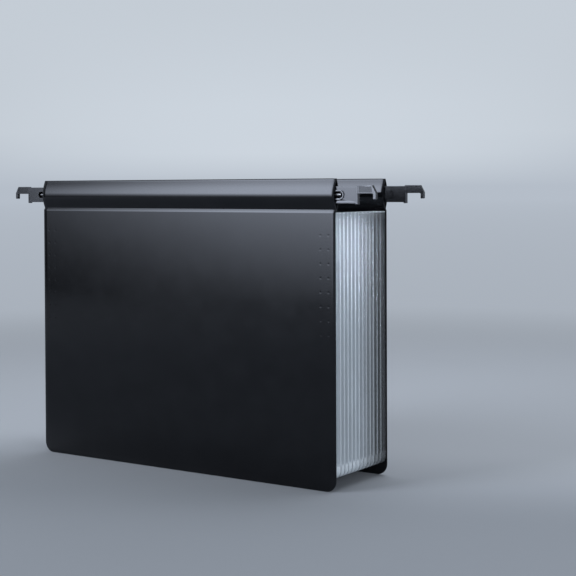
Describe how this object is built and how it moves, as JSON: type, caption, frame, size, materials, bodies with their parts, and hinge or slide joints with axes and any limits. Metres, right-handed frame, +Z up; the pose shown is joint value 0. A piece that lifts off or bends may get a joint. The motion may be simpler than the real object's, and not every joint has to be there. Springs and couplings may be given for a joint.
{
  "type": "expanding hanging file",
  "caption": "Standing accordion file of frosted pockets between two black covers, with a hooked hanging rail through the folded top of each cover.",
  "frame": {"origin": "on the floor, at the middle of the file's bounding box", "axes": "+X along the rods to the right, seen from the front; +Y from the front cover to the back cover; +Z up"},
  "size_m": [0.4068, 0.0878, 0.26],
  "materials": {
    "cover_black": "satin black polypropylene sheet, faintly textured",
    "hook_black": "satin black moulded plastic",
    "frosted_film": "translucent frosted polypropylene film, creased into pleats",
    "frosted_sheet": "translucent frosted polypropylene sheet",
    "steel": "bright drawn steel wire"
  },
  "bodies": {
    "back_cover": {"back_cover": "cover_black"},
    "front_cover": {"front_cover": "cover_black", "pleat_01": "frosted_film"},
    "divider_01": {"divider_01": "frosted_sheet", "pleat_02": "frosted_film"},
    "divider_02": {"divider_02": "frosted_sheet", "pleat_03": "frosted_film"},
    "divider_03": {"divider_03": "frosted_sheet", "pleat_04": "frosted_film"},
    "divider_04": {"divider_04": "frosted_sheet", "pleat_05": "frosted_film"},
    "divider_05": {"divider_05": "frosted_sheet", "pleat_06": "frosted_film"},
    "divider_06": {"divider_06": "frosted_sheet", "pleat_07": "frosted_film"},
    "divider_07": {"divider_07": "frosted_sheet", "pleat_08": "frosted_film"},
    "divider_08": {"divider_08": "frosted_sheet", "pleat_09": "frosted_film"},
    "divider_09": {"divider_09": "frosted_sheet", "pleat_10": "frosted_film"},
    "divider_10": {"divider_10": "frosted_sheet", "pleat_11": "frosted_film"},
    "divider_11": {"divider_11": "frosted_sheet", "pleat_12": "frosted_film"},
    "divider_12": {"divider_12": "frosted_sheet", "pleat_13": "frosted_film"},
    "front_rail": {"front_rod": "steel", "front_hook_left": "hook_black", "front_hook_right": "hook_black"},
    "back_rail": {"back_rod": "steel", "back_hook_left": "hook_black", "back_hook_right": "hook_black"}
  },
  "joints": [
    {"name": "pocket_13_opens", "type": "slide", "parent": "back_cover", "child": "divider_12", "axis": [0, -1, 0], "range_m": [-0.004, 0.01], "deforming": ["pleat_13"]},
    {"name": "pocket_12_opens", "type": "slide", "parent": "divider_12", "child": "divider_11", "axis": [0, -1, 0], "range_m": [-0.004, 0.01], "deforming": ["pleat_12"]},
    {"name": "pocket_11_opens", "type": "slide", "parent": "divider_11", "child": "divider_10", "axis": [0, -1, 0], "range_m": [-0.004, 0.01], "deforming": ["pleat_11"]},
    {"name": "pocket_10_opens", "type": "slide", "parent": "divider_10", "child": "divider_09", "axis": [0, -1, 0], "range_m": [-0.004, 0.01], "deforming": ["pleat_10"]},
    {"name": "pocket_09_opens", "type": "slide", "parent": "divider_09", "child": "divider_08", "axis": [0, -1, 0], "range_m": [-0.004, 0.01], "deforming": ["pleat_09"]},
    {"name": "pocket_08_opens", "type": "slide", "parent": "divider_08", "child": "divider_07", "axis": [0, -1, 0], "range_m": [-0.004, 0.01], "deforming": ["pleat_08"]},
    {"name": "pocket_07_opens", "type": "slide", "parent": "divider_07", "child": "divider_06", "axis": [0, -1, 0], "range_m": [-0.004, 0.01], "deforming": ["pleat_07"]},
    {"name": "pocket_06_opens", "type": "slide", "parent": "divider_06", "child": "divider_05", "axis": [0, -1, 0], "range_m": [-0.004, 0.01], "deforming": ["pleat_06"]},
    {"name": "pocket_05_opens", "type": "slide", "parent": "divider_05", "child": "divider_04", "axis": [0, -1, 0], "range_m": [-0.004, 0.01], "deforming": ["pleat_05"]},
    {"name": "pocket_04_opens", "type": "slide", "parent": "divider_04", "child": "divider_03", "axis": [0, -1, 0], "range_m": [-0.004, 0.01], "deforming": ["pleat_04"]},
    {"name": "pocket_03_opens", "type": "slide", "parent": "divider_03", "child": "divider_02", "axis": [0, -1, 0], "range_m": [-0.004, 0.01], "deforming": ["pleat_03"]},
    {"name": "pocket_02_opens", "type": "slide", "parent": "divider_02", "child": "divider_01", "axis": [0, -1, 0], "range_m": [-0.004, 0.01], "deforming": ["pleat_02"]},
    {"name": "pocket_01_opens", "type": "slide", "parent": "divider_01", "child": "front_cover", "axis": [0, -1, 0], "range_m": [-0.004, 0.01], "deforming": ["pleat_01"]},
    {"name": "front_rail_slides", "type": "slide", "parent": "front_cover", "child": "front_rail", "axis": [1, 0, 0], "range_m": [-0.018, 0.018]},
    {"name": "back_rail_slides", "type": "slide", "parent": "back_cover", "child": "back_rail", "axis": [1, 0, 0], "range_m": [-0.018, 0.018]}
  ]
}
